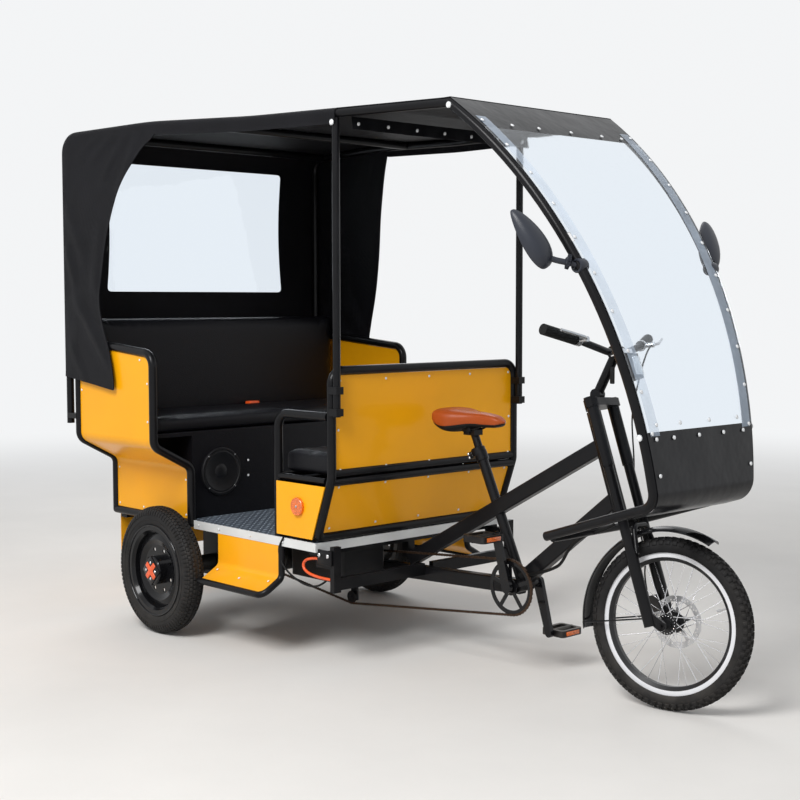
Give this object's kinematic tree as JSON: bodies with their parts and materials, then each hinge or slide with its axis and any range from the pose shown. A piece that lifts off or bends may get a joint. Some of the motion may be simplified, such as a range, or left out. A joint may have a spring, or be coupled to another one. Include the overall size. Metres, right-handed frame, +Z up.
{
  "type": "passenger tricycle",
  "caption": "Pedal tricycle with a rear passenger bench, a rear-facing seat, a fabric canopy, a curved windscreen and blank advertising panels.",
  "frame": {"origin": "on the ground, under the middle of the length and of the width", "axes": "+X forwards, +Y to the rider's left, +Z up"},
  "size_m": [2.6026, 1.2546, 1.8375],
  "materials": {
    "black_frame": "gloss black powder coat",
    "yellow_panel": "gloss yellow-orange paint",
    "tread_plate": "brushed tread plate",
    "pale_trim": "satin white",
    "black_vinyl": "grained black vinyl",
    "brown_leather": "worn brown",
    "canopy_cloth": "coated black cloth",
    "clear_sheet": "clear flexible sheet",
    "black_plastic": "satin black",
    "black_rubber": "matt",
    "tyre_rubber": "matt",
    "black_wheel": "satin black with an orange cap",
    "silver_rim": "polished with a black inner band",
    "bright_steel": "brushed",
    "chain_steel": "oiled",
    "silver_alloy": "satin",
    "dark_metal": "satin dark grey",
    "amber_reflector": "prismatic amber",
    "white_plastic": "gloss with a clear lens",
    "black_cable": "satin black sheath",
    "orange_cable": "satin orange sheath"
  },
  "bodies": {
    "chassis": {"main_frame": "black_frame", "underframe": "black_frame", "floor_plate": "tread_plate", "floor_trim": "pale_trim", "rear_axle": "dark_metal", "drive_motor": "dark_metal", "battery_box": "black_plastic", "chain": "chain_steel", "side_frame_right": "black_frame", "side_frame_left": "black_frame", "side_panel_right": "yellow_panel", "side_panel_left": "yellow_panel", "rear_panel": "yellow_panel", "rear_valance": "yellow_panel", "bench_box": "black_plastic", "speakers": "black_plastic", "bench_cushion": "black_vinyl", "bench_backrest": "black_vinyl", "wall_frame": "black_frame", "wall_panels": "yellow_panel", "jump_seat_rails": "black_frame", "seat_box_sides": "black_plastic", "seat_box": "black_plastic", "jump_seat_cushion": "black_vinyl", "reflectors": "amber_reflector", "step_right": "black_plastic", "step_left": "black_plastic", "step_rims": "black_frame", "canopy_posts": "black_frame", "roof_frame": "black_frame", "windscreen_hoop": "black_frame", "windscreen": "clear_sheet", "windscreen_header": "black_plastic", "windscreen_skirt": "black_plastic", "canopy_roof": "canopy_cloth", "canopy_curtain": "canopy_cloth", "rear_window": "clear_sheet", "mirrors": "black_plastic", "seat_post": "black_frame", "saddle": "brown_leather", "cable_power": "orange_cable"},
    "steering": {"fork": "black_frame", "handlebar": "black_frame", "grips": "black_rubber", "brake_levers": "silver_alloy", "headlight": "white_plastic", "front_mudguard": "black_plastic", "brake_caliper": "dark_metal", "cable_brake": "black_cable"},
    "front_wheel": {"front_tyre": "tyre_rubber", "front_rim": "silver_rim", "front_hub": "black_frame", "brake_disc": "bright_steel"},
    "right_rear_wheel": {"rear_tyre_right": "tyre_rubber", "rear_wheel_right": "black_wheel"},
    "left_rear_wheel": {"rear_tyre_left": "tyre_rubber", "rear_wheel_left": "black_wheel"},
    "crank": {"crankset": "black_frame"},
    "right_pedal": {"pedal_right": "silver_alloy"},
    "left_pedal": {"pedal_left": "silver_alloy"}
  },
  "joints": [
    {"name": "steering_turn", "type": "hinge", "parent": "chassis", "child": "steering", "pos_m": [0.9858, 0, 0.23216], "axis": [-0.3305, 0, 0.9438], "range_deg": [-56.4, 33.6]},
    {"name": "front_wheel_spin", "type": "hinge", "parent": "steering", "child": "front_wheel", "pos_m": [1.04964, 0.01364, 0.25452], "axis": [-0.1865, 0.9803, -0.0653], "continuous": true},
    {"name": "right_rear_wheel_spin", "type": "hinge", "parent": "chassis", "child": "right_rear_wheel", "pos_m": [-0.80336, -0.527, 0.231], "axis": [0, 1, 0], "continuous": true},
    {"name": "left_rear_wheel_spin", "type": "hinge", "parent": "chassis", "child": "left_rear_wheel", "pos_m": [-0.80336, 0.527, 0.231], "axis": [0, 1, 0], "continuous": true},
    {"name": "crank_spin", "type": "hinge", "parent": "chassis", "child": "crank", "pos_m": [0.48164, 0, 0.288], "axis": [0, 1, 0], "continuous": true},
    {"name": "right_pedal_spin", "type": "hinge", "parent": "crank", "child": "right_pedal", "pos_m": [0.43478, -0.138, 0.45141], "axis": [0, 1, 0], "continuous": true},
    {"name": "left_pedal_spin", "type": "hinge", "parent": "crank", "child": "left_pedal", "pos_m": [0.5285, 0.138, 0.12459], "axis": [0, 1, 0], "continuous": true}
  ]
}
